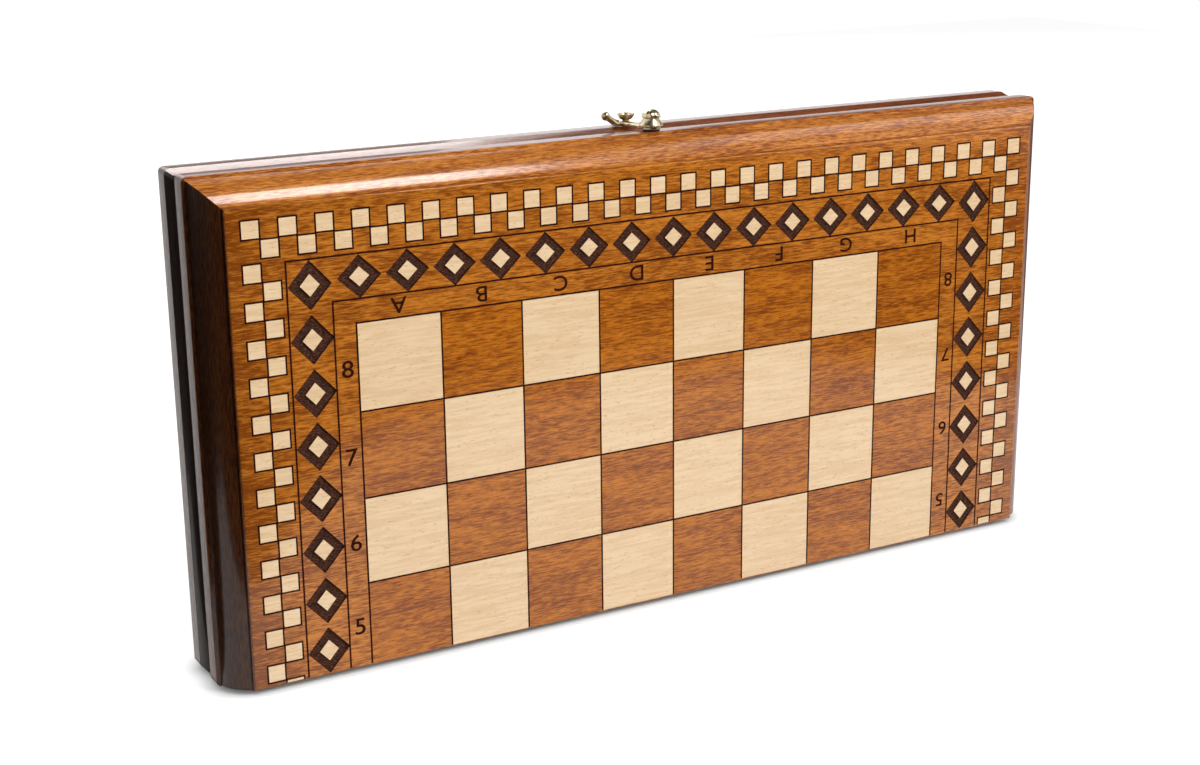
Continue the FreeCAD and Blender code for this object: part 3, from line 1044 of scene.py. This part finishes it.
@dataclass
class FacedPanel:
    """Panel of one half: stained face with engraved lozenges outside and backgammon points inside."""

    places: BoxPlaces
    half: Half
    pocket: float = 0.4
    sunk: float = 0.1
    square_proud: float = 0.02
    line_proud: float = 0.04
    cross_proud: float = 0.05
    glyph_proud: float = 0.05
    glyph_weight: float = 0.009
    # A four's counter fills up when its outline is thickened
    thin_signs: str = "4"
    glyph_stretch: float = 1.1
    arris_steps: int = 6
    point_count: int = 6
    point_length: float = 178.0
    point_margin: float = 1.5
    point_line: float = 0.8
    # A sharp tip's line reaches this many line widths past it
    tip_reach: float = 4.0

    def __post_init__(self) -> None:
        """Lays out the field and finds the panel's two faces."""
        self.field = ChessField(self.places, self.half)
        depth = self.places.half_depth
        self.outer = Surface(self.half.value * depth, self.half.value)
        self.inner = Surface(self.half.value * (depth - self.places.panel_thickness), -self.half.value)

    def build(self) -> None:
        """Makes the panel and everything on it."""
        self.slab()
        field = self.field
        upright, level = field.lines()
        cell, line = field.chequer_cell / 2, field.line / 2
        for name, outlines, proud, finish in (
            ("bare_squares", field.squares(True), self.square_proud, BARE_BEECH),
            ("stained_squares", field.squares(False), self.square_proud, STAINED_SQUARE),
            ("upright_lines", upright, self.line_proud, BURNT_LINE),
            ("level_lines", level, self.cross_proud, BURNT_LINE),
            ("chequer_lines", field.chequer_boxes(cell + line), self.square_proud, BURNT_LINE),
            ("bare_chequers", field.chequer_boxes(cell - line), self.line_proud, BARE_BEECH),
            ("bare_lozenge_hearts", field.diamonds(field.lozenge_heart), self.square_proud, BARE_BEECH),
        ):
            self.inlay(name, self.outer.plates(outlines, self.sunk, proud), finish)
        self.coordinates()
        self.points()

    def inlay(self, name: str, plates: Mesh, finish: Finish) -> None:
        """Makes one set of plates under the half's own name."""
        name = f"{self.half.prefix}_{name}"
        make_piece(name, *plates, [finish], self.half.body, "stained_panel")

    def arris_rings(self) -> Array:
        """Rectangles of the panel's edge, from the flat face round the arris to the inner face.

        At angle t a side of arris r stands r (1 - sin t) in from the edge and r (1 - cos t) deep.

        Returns:
            Four corners of each rectangle.
        """
        angle = np.linspace(0, math.pi / 2, self.arris_steps + 1)
        inset, deep = 1 - np.sin(angle), 1 - np.cos(angle)
        arris, hinge = self.places.panel_arris, self.field.hinge_arris
        x = self.places.face_half + arris - arris * inset
        low = self.places.bottom + hinge * inset
        high = self.places.face_top + arris - arris * inset
        flat = pairs(np.stack([-x, x, x, -x], 1), np.stack([low, low, high, high], 1))
        depth = np.stack([hinge * deep, hinge * deep, arris * deep, arris * deep], 1)
        back = np.full((1, 4), self.places.panel_thickness)
        return self.outer.lift(np.concatenate([flat, flat[-1:]]), -np.concatenate([depth, back]))

    def slab(self) -> None:
        """Makes the panel itself, whose lozenges are engraved pockets round standing hearts."""
        rings = self.arris_rings()
        outer = self.field.diamonds(1.0)
        heart = self.field.diamonds(self.field.lozenge_heart)
        loops = np.vstack([rings[:1][..., [0, 2]], outer, heart])
        plan = [Vector(point) for point in loops.reshape(-1, 2).tolist()]
        corners = np.arange(len(plan)).reshape(-1, 4).tolist()
        flat, _, triangles, _, _, inside = delaunay_2d_cdt(plan, [], corners, 1, WELD)
        flat = np.array(flat)[np.array(triangles)]
        engraved = np.array([max(owners) in range(1, len(outer) + 1) for owners in inside])
        level = self.outer.lift(flat, np.where(engraved, -self.pocket, 0)[:, None])
        edges = np.vstack([outer, heart])
        ahead = np.roll(edges, -1, axis=1)
        around = ((edges, 0), (ahead, 0), (ahead, -self.pocket), (edges, -self.pocket))
        walls = np.stack([self.outer.lift(ends, height) for ends, height in around], axis=2)
        walls = walls.reshape(-1, 4, 3)
        sides = ring_faces(len(rings), 4)
        points = np.vstack([part.reshape(-1, 3) for part in (level, walls, rings)])
        first_wall = level.size // 3
        first_ring = first_wall + walls.size // 3
        faces = np.arange(first_wall).reshape(-1, 3).tolist()
        faces += np.arange(first_wall, first_ring).reshape(-1, 4).tolist()
        faces += (sides + first_ring).tolist()
        faces.append(list(range(len(points) - 4, len(points))))
        marks = np.concatenate([engraved, np.ones(len(walls)), np.zeros(len(sides) + 1)]).astype(int)
        finishes = [STAINED_FACE, BURNT_LOZENGE]
        name = f"{self.half.prefix}_panel"
        made = name + "_engraved"
        make_piece(made, points, faces, finishes, self.half.body, "stained_panel", (name,), marks)

    def glyph_mesh(self, sign: str) -> Mesh:
        """Plate of one letter or number, one unit high and centred.

        Args:
            sign: the letter or number.

        Returns:
            Points with their side of the plate as third number, and faces.
        """
        curve = bpy.data.curves.new("glyph", "FONT")
        curve.body = sign
        curve.offset = 0.0 if sign in self.thin_signs else self.glyph_weight
        curve.extrude = 1.0
        holder = bpy.data.objects.new("glyph", curve)
        mesh = bpy.data.meshes.new_from_object(holder)
        points = np.empty(len(mesh.vertices) * 3)
        mesh.vertices.foreach_get("co", points)
        faces = [list(polygon.vertices) for polygon in mesh.polygons]
        bpy.data.objects.remove(holder)
        bpy.data.curves.remove(curve)
        bpy.data.meshes.remove(mesh)
        points = points.reshape(-1, 3)
        low, high = points.min(0), points.max(0)
        return (points - (low + high) / 2) / (high[1] - low[1], high[1] - low[1], 1), faces

    def coordinates(self) -> None:
        """Burns the letters and numbers beside the field, as thin plates cut from their outlines."""
        signs = []
        for sign, x, z, height in self.field.glyphs():
            plate, faces = self.glyph_mesh(sign)
            seen = plate[:, :2] * (-self.half.value * self.glyph_stretch, 1)
            proud = np.where(plate[:, 2] > 0, self.glyph_proud, -self.sunk)
            signs.append((self.outer.lift(np.array([x, z]) + height * seen, proud), faces))
        self.inlay("coordinates", joined(signs), BURNT_LINE)

    def points(self) -> None:
        """Lays the backgammon points along both ends of the tray, dark and bare by turns."""
        _, high = np.array(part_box("front_hinge_rail")) / MM
        wall = high[0] - self.point_margin
        bottom = high[2] + self.point_margin
        top = 2 * self.places.face_top - self.places.top
        pitch = (top - bottom) / self.point_count
        order = np.arange(self.point_count)
        for tone, (tone_name, finish) in enumerate((("dark", DARK_POINT), ("bare", BARE_BEECH))):
            for name, grow, proud, coat in (
                ("point_lines", self.point_line, self.square_proud, BURNT_LINE),
                ("points", 0.0, self.line_proud, finish),
            ):
                inset = self.point_line - grow
                tip = wall - self.point_length - self.tip_reach * grow
                outlines = []
                for end in (-1, 1):
                    base = bottom + order[(order + (end > 0)) % 2 == tone] * pitch
                    corners = [
                        pairs(end * wall, base + inset),
                        pairs(end * wall, base + pitch - inset),
                        pairs(end * tip, base + pitch / 2),
                    ]
                    outlines.append(np.stack(corners, axis=1))
                plates = self.inner.plates(np.vstack(outlines), self.sunk, proud)
                self.inlay(f"{tone_name}_{name}", plates, coat)


@dataclass
class SwingClasp:
    """Swing hook clasp of cast brass on the top strips: pivot post, hook and keeper stud on washers."""

    places: BoxPlaces
    x: float = -2.0
    strip_middle: float = 12.95
    screw_depth: float = 12.0
    washer_radius: float = 4.4
    # Softening of a washer's outer and inner edge, in its own thickness
    washer_eases: Pair = (0.25, 0.1)
    pivot_washer_thickness: float = 0.8
    keeper_washer_thickness: float = 0.5
    pivot_radius: float = 1.9
    stud_radius: float = 1.8
    hook_bottom: float = 0.9
    hook_thickness: float = 1.6
    hook_ease: float = 0.35
    eye_radius: float = 5.0
    eye_opening: float = 46.7
    waist: float = 5.2
    notch_radius: float = 2.5
    claw_radius: float = 5.0
    claw_reach: float = 2.0
    tail_width: float = 4.2
    tail_setback: float = 4.4
    tail_length: float = 6.0
    tail_root: float = 0.7
    knob_offset: float = 12.6
    knob_height: float = 6.4
    knob_radius: float = 2.3
    neck_radius: float = 1.6
    root_radius: float = 2.0
    unlatch_angle: float = 9.0
    skirt: tuple[Pair, ...] = ((6.2, 2.7), (6.2, 3.2), (5.2, 4.6), (4.5, 5.8), (4.1, 6.9))
    skirt_ease: float = 0.2
    cap: tuple[Pair, ...] = ((4.0, 6.8), (5.0, 6.9), (4.9, 8.1), (4.3, 9.4), (3.0, 10.4), (1.6, 10.9))
    cap_ease: float = 0.35
    cap_flutes: int = 9
    flute_depth: float = 0.07
    stud_lip: tuple[Pair, ...] = ((1.8, 3.0), (2.9, 3.0), (3.55, 3.75), (4.15, 4.6), (4.5, 5.5))
    stud_dish: tuple[Pair, ...] = ((4.5, 5.9), (3.3, 5.9), (3.0, 5.0))
    stud_ease: float = 0.18
    around: int = 72
    # Runs of the hook's eye, notch, claw and tail, and of its knob's root and ball
    plan_steps: tuple[int, int, int, int] = (40, 28, 32, 20)
    knob_steps: tuple[int, int] = (8, 20)

    def on_axis(self, corners: list[Pair], ease: float) -> Array:
        """Profile between two points on the axis, with its other corners softened.

        Args:
            corners: radius and height of each corner off the axis.
            ease: ease length of these corners.

        Returns:
            Radius and height along the whole profile.
        """
        chain = np.array([(0.0, corners[0][1]), *corners, (0.0, corners[-1][1])])
        softness = np.full(len(chain), ease)
        softness[[0, 1, -1]] = 0
        return eased(chain, softness)

    def lathe(
        self, name: str, profile: Array, half: Half, finish: Finish, node: str | None, **waves: float
    ) -> None:
        """Makes one turned piece on the middle of a half's top strip.

        Args:
            name: name of the piece.
            profile: radius and height over the strip.
            half: half of the box that carries it.
            finish: its finish.
            node: node of the frame that it replaces.
            waves: flutes round the piece.
        """
        foot = (self.x, half.value * self.strip_middle, self.places.top)
        points = turned(profile, self.around, **waves) + foot
        faces = ring_faces(*points.shape[:2], closed=bool(profile[0, 0] > 0)).tolist()
        make_piece(name, points, faces, [finish], half.body, "clasp_brass", (node,) if node else ())

    def washer(self, name: str, bore: float, thickness: float, half: Half) -> None:
        """Makes a plain near-black washer with softened edges.

        Args:
            name: node of the frame that it replaces.
            bore: radius of its hole.
            thickness: its thickness.
            half: half of the box that carries it.
        """
        rim = self.washer_radius
        corners = np.array([(bore, 0), (rim, 0), (rim, thickness), (bore, thickness)])
        profile = eased(corners, thickness * np.array([0, 0, *self.washer_eases]))
        self.lathe(name + "_turned", profile, half, BLACK_BRASS, name)

    def plan(self) -> Array:
        """Outline of the latched hook round its pivot at the origin, with the stud straight ahead.

        The outline runs round the eye, up the arm, round the notch, out to the claw's point, back over
        the claw, round the tail's end and down the arm again.

        Returns:
            The points of the outline.
        """
        reach = 2 * self.strip_middle
        waist = self.waist / 2
        tail_y = reach - self.tail_setback
        tail = self.tail_width / 2
        point = math.degrees(math.acos(self.claw_reach / self.claw_radius))
        shoulder = 180 + math.degrees(math.asin((self.tail_setback - tail) / self.claw_radius))
        eye, notch, claw, end = self.plan_steps
        return np.vstack(
            [
                arc((0, 0), self.eye_radius, 180 - self.eye_opening, 360 + self.eye_opening, eye),
                [(waist, reach / 2), (waist, reach - self.notch_radius)],
                arc((0, reach), self.notch_radius, 270, 90, notch),
                [(self.claw_reach, reach + self.notch_radius)],
                arc((0, reach), self.claw_radius, point, shoulder, claw),
                arc((-self.tail_length, tail_y), tail, 90, 270, end),
                [(-waist - self.tail_root, tail_y - tail), (-waist, reach / 2)],
            ]
        )

    def hook_plate(self) -> Mesh:
        """Hook's flat as four rings, the outer two drawn in by the ease length.

        Returns:
            Points and faces.
        """
        outline = self.plan()
        along = np.roll(outline, -1, axis=0) - np.roll(outline, 1, axis=0)
        outward = pairs(along[:, 1], -along[:, 0]) / np.linalg.norm(along, axis=1)[:, None]
        drawn_in = outline - self.hook_ease * outward
        top = self.hook_bottom + self.hook_thickness
        levels = (self.hook_bottom, self.hook_bottom + self.hook_ease, top - self.hook_ease, top)
        rings = (drawn_in, outline, outline, drawn_in)
        points = [np.column_stack([ring, np.full(len(ring), z)]) for ring, z in zip(rings, levels)]
        count = len(outline)
        faces = ring_faces(len(rings), count).tolist()
        faces += [list(range(count)), list(range(3 * count, 4 * count))]
        return np.vstack(points), faces

    def hook_knob(self) -> Mesh:
        """Neck and ball turned about the line that rises from the tail's end to the ball.

        Returns:
            Points and faces.
        """
        tail_y = 2 * self.strip_middle - self.tail_setback
        root = np.array([-self.tail_length, tail_y, self.hook_bottom + self.hook_thickness / 2])
        ball = np.array([-self.knob_offset, tail_y, self.knob_height])
        rise = np.linalg.norm(ball - root)
        along = (ball - root) / rise
        across = np.array([0.0, 1.0, 0.0])
        third = np.cross(along, across)
        neck = math.degrees(math.acos(self.neck_radius / self.knob_radius))
        root_steps, ball_steps = self.knob_steps
        foot = arc((0, 0), self.root_radius, -90, 0, root_steps)
        head = arc((0, rise), self.knob_radius, -neck, 90, ball_steps)
        rings = turned(np.vstack([foot, head]), self.around // 2)
        points = root + rings[..., :1] * across + rings[..., 1:2] * third + rings[..., 2:] * along
        points[..., 2] = np.maximum(points[..., 2], self.hook_bottom)
        return points.reshape(-1, 3), ring_faces(*rings.shape[:2]).tolist()

    def hook(self) -> None:
        """Makes the hook, swung clear of its stud."""
        points, faces = joined([self.hook_plate(), self.hook_knob()])
        swing = math.radians(self.unlatch_angle)
        cos, sin = math.cos(swing), math.sin(swing)
        turn = np.array([[cos, sin, 0], [-sin, cos, 0], [0, 0, 1]])
        placed = points @ turn + (self.x, -self.strip_middle, self.places.top)
        nodes = ("clasp_hook",)
        make_piece("clasp_hook_cast", placed, faces, [CLASP_BRASS], "swing_hook", "clasp_brass", nodes)

    def build(self) -> None:
        """Makes every piece of the clasp."""
        self.washer("clasp_pivot_washer", self.pivot_radius, self.pivot_washer_thickness, Half.FRONT)
        self.washer("clasp_keeper_washer", self.stud_radius, self.keeper_washer_thickness, Half.BACK)
        shank = [(self.pivot_radius, -self.screw_depth), (self.pivot_radius, self.skirt[0][1])]
        skirt = self.on_axis([*shank, *self.skirt], self.skirt_ease)
        self.lathe("clasp_pivot_skirt", skirt, Half.FRONT, CLASP_BRASS, "clasp_pivot_post")
        cap = self.on_axis(list(self.cap), self.cap_ease)
        waves = {"flutes": self.cap_flutes, "flute_depth": self.flute_depth}
        self.lathe("clasp_pivot_cap", cap, Half.FRONT, CLASP_BRASS, None, **waves)
        corners = [(self.stud_radius, -self.screw_depth), *self.stud_lip, *self.stud_dish]
        stud = self.on_axis(corners, self.stud_ease)
        self.lathe("clasp_keeper_stud_turned", stud, Half.BACK, CLASP_BRASS, "clasp_keeper_stud")
        self.hook()


@dataclass
class PlainFittings:
    """Hinges, screws and hinge rails, which keep the frame's own shapes and get their finishes."""

    finishes: tuple[tuple[str, Finish], ...] = (
        ("hinge_rail", PLAIN_BEECH),
        ("leaf", HINGE_BRASS),
        ("pin", PIN_STEEL),
        ("screws", SCREW_BRASS),
    )

    def build(self) -> None:
        """Gives each of these nodes its finish."""
        for name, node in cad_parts.items():
            for word, finish in self.finishes:
                if name.endswith(word):
                    node.data.materials.clear()
                    node.data.materials.append(finish.material())
                    LOG.info("%s takes %s", name, finish.name)


@dataclass(frozen=True)
class Lamp:
    """One rectangular soft light, long sides level, in metres and watts, with its beam in degrees.

    A light without glints is hidden from reflections, as a grid over it would hide it.
    """

    name: str
    place: Triple
    aim: Triple
    size: Pair
    power: float
    beam: float = 180.0
    glints: bool = True


@dataclass(frozen=True)
class Card:
    """One dark card for the lacquer to mirror, out of the camera's sight.

    It is given by a corner and two sides in metres.
    """

    name: str
    corner: Triple
    along: Triple
    up: Triple


@dataclass
class Studio:
    """Pale floor, soft studio light and the camera of the photograph."""

    lens_mm: float = 56.73
    sensor_mm: float = 36.0
    clip_start: float = 0.01
    camera_place: Triple = (-495.6, -841.8, 393.5)
    camera_right: Triple = (0.87187659, -0.48960569, -0.01083862)
    camera_down: Triple = (-0.14359333, -0.2344226, -0.96147127)
    floor_size: float = 5.0
    floor_colour: str = "#8E8D8B"
    floor_glow: float = 0.94
    painted_shadow_reach: float = 0.008
    painted_shadow_samples: int = 4
    card_colour: str = "#303030"
    ambient: float = 0.02
    lamps: tuple[Lamp, ...] = (
        Lamp("key_softbox", (0.75, -1.5, 2.02), (0.75, 0, 0.25), (0.6, 1.1), 37),
        Lamp("right_fill", (3.2, -1.4, 0.9), (-1.2, -0.9, 0.2), (1.2, 0.8), 43, 44, False),
        Lamp("top_glow", (1.5, -0.25, 2), (0.1, 0, 0.25), (1.2, 0.8), 6),
        Lamp("back_fill", (0.12, 1.9, 1.7), (0, 0, 0.12), (1.8, 1), 17),
        Lamp("rear_fill", (0.8, 2.6, 0.7), (0, 0, 0.12), (1.6, 1), 45, glints=False),
    )
    cards: tuple[Card, ...] = (
        Card("front_card", (-2, -0.42, 0.001), (4, 0, 0), (0, -3, 0)),
        Card("front_left_card", (-0.2, -0.15, 0.001), (0.25, -0.36, 0), (-1.8, 0, 0)),
        Card("front_right_card", (0.45, -0.22, 0.001), (-0.17, -0.29, 0), (2, 0, 0)),
        Card("left_card", (-0.55, -0.2, 0.001), (-1.6, 0, 0), (0, 0.27, 0)),
        Card("back_left_card", (-0.262, -0.01, 0.001), (-0.72, 1.38, 0), (-1.5, 0, 0)),
        Card("right_card", (1.05, 1.6, 0.62), (1.2, -1.6, 0), (0, 0, 1.8)),
        Card("back_right_card", (0.32, 0.1, 0.001), (2.2, 0, 0), (0, 2.2, 0)),
        Card("back_low_card", (0.1, 2, 0.4), (0.7, 0, 0), (0, 0, 0.4)),
        Card("room_card", (-3, -3.6, 0), (6, 0, 0), (0, 0, 3)),
        Card("ceiling_card", (-3, -3.6, 3), (6, 0, 0), (0, 5.4, 0)),
    )

    def camera(self) -> None:
        """Stands the camera where the photograph was taken from."""
        data = bpy.data.cameras.new("camera")
        data.lens = self.lens_mm
        data.sensor_width = self.sensor_mm
        data.clip_start = self.clip_start
        right = Vector(self.camera_right)
        up = -Vector(self.camera_down)
        turn = Matrix([right, up, right.cross(up)]).transposed().to_4x4()
        camera = bpy.data.objects.new("camera", data)
        camera.matrix_world = Matrix.Translation(Vector(self.camera_place) * MM) @ turn
        bpy.context.scene.collection.objects.link(camera)
        bpy.context.scene.camera = camera

    def sheet(
        self, name: str, corner: Array, along: Array, up: Array, material: Material
    ) -> bpy.types.Object:
        """Stands one flat sheet in the studio.

        Args:
            name: name of the sheet.
            corner: one of its corners in metres.
            along: first side from that corner.
            up: second side from that corner.
            material: its material.

        Returns:
            The sheet, marked as stage.
        """
        corners = np.array([corner, corner + along, corner + along + up, corner + up])
        mesh = bpy.data.meshes.new(name)
        mesh.from_pydata(corners.tolist(), [], [[0, 1, 2, 3]])
        mesh.materials.append(material)
        sheet = bpy.data.objects.new(name, mesh)
        bpy.context.scene.collection.objects.link(sheet)
        return sheet

    def shown(self, tree: Tree) -> Socket:
        """One for rays from the camera, from gloss or through glass, zero for light itself.

        Args:
            tree: node tree that takes the nodes.

        Returns:
            The value, zero or one.
        """
        path = add(tree, "ShaderNodeLightPath")
        seen = path.outputs["Is Camera Ray"]
        for ray in ("Is Glossy Ray", "Is Transmission Ray"):
            seen = reckon(tree, "MAXIMUM", seen, path.outputs[ray])
        return seen

    def floor(self) -> None:
        """Lays the pale floor, which looks nearly white; its matt part keeps the box's cast shadow, and
        its glow fades near the box in a painted contact shadow.
        """
        material, tree = blank_material("pale_floor")
        matt = add(tree, "ShaderNodeBsdfDiffuse", {"Color": linear(self.floor_colour)})
        # Ambient occlusion dims the glow near the box: a painted contact shadow under and round it
        reach = {"Distance": self.painted_shadow_reach}
        near = add(tree, "ShaderNodeAmbientOcclusion", reach, samples=self.painted_shadow_samples)
        glow_less_painted_shadow = reckon(tree, "MULTIPLY", near.outputs["AO"], self.floor_glow)
        glow = reckon(tree, "MULTIPLY", self.shown(tree), glow_less_painted_shadow)
        light = add(tree, "ShaderNodeEmission", {"Color": WHITE, "Strength": glow})
        both = add(tree, "ShaderNodeAddShader", {0: matt.outputs[0], 1: light.outputs[0]})
        add(tree, "ShaderNodeOutputMaterial", {"Surface": both.outputs[0]})
        along, up = self.floor_size * np.eye(3)[:2]
        self.sheet("floor", -(along + up) / 2, along, up, material)

    def world(self) -> None:
        """White to the camera and in reflections, dimmer as light."""
        world = bpy.data.worlds.new("studio")
        world.use_nodes = True
        tree = world.node_tree
        tree.nodes.clear()
        strength = spread(tree, self.shown(tree), (0, 1), (self.ambient, 1))
        sky = add(tree, "ShaderNodeBackground", {"Color": WHITE, "Strength": strength})
        add(tree, "ShaderNodeOutputWorld", {"Surface": sky.outputs[0]})
        bpy.context.scene.world = world

    def hang(self, lamp: Lamp) -> None:
        """Hangs one soft light with its long sides level, facing its aim.

        Args:
            lamp: the light.
        """
        data = bpy.data.lights.new(lamp.name, "AREA")
        data.shape = "RECTANGLE"
        data.size, data.size_y = lamp.size
        data.energy = lamp.power
        data.spread = math.radians(lamp.beam)
        light = bpy.data.objects.new(lamp.name, data)
        light.visible_glossy = lamp.glints
        light.visible_camera = False
        toward = Vector(lamp.aim) - Vector(lamp.place)
        turn = toward.to_track_quat("-Z", "Y").to_matrix().to_4x4()
        light.matrix_world = Matrix.Translation(Vector(lamp.place)) @ turn
        bpy.context.scene.collection.objects.link(light)

    def stand_cards(self) -> None:
        """Stands the dark cards, which no camera sees and which cast no shadow."""
        material, tree = blank_material("black_card")
        matt = add(tree, "ShaderNodeBsdfDiffuse", {"Color": linear(self.card_colour)})
        add(tree, "ShaderNodeOutputMaterial", {"Surface": matt.outputs[0]})
        for card in self.cards:
            corner, along, up = np.array([card.corner, card.along, card.up])
            sheet = self.sheet(card.name, corner, along, up, material)
            sheet.visible_camera = False
            sheet.visible_shadow = False

    def build(self) -> None:
        """Sets up the whole studio."""
        self.camera()
        self.floor()
        self.world()
        for lamp in self.lamps:
            self.hang(lamp)
        self.stand_cards()
        bpy.context.scene.view_settings.view_transform = "Standard"


def main() -> None:
    """Builds the box piece by piece."""
    logging.basicConfig(level=logging.INFO, format="%(name)s: %(message)s")
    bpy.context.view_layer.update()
    Studio().build()
    places = BoxPlaces.from_frame()
    for half in Half:
        MouldedFrame(places, half).build()
        FacedPanel(places, half).build()
    SwingClasp(places).build()
    PlainFittings().build()


if __name__ == "__main__":
    main()
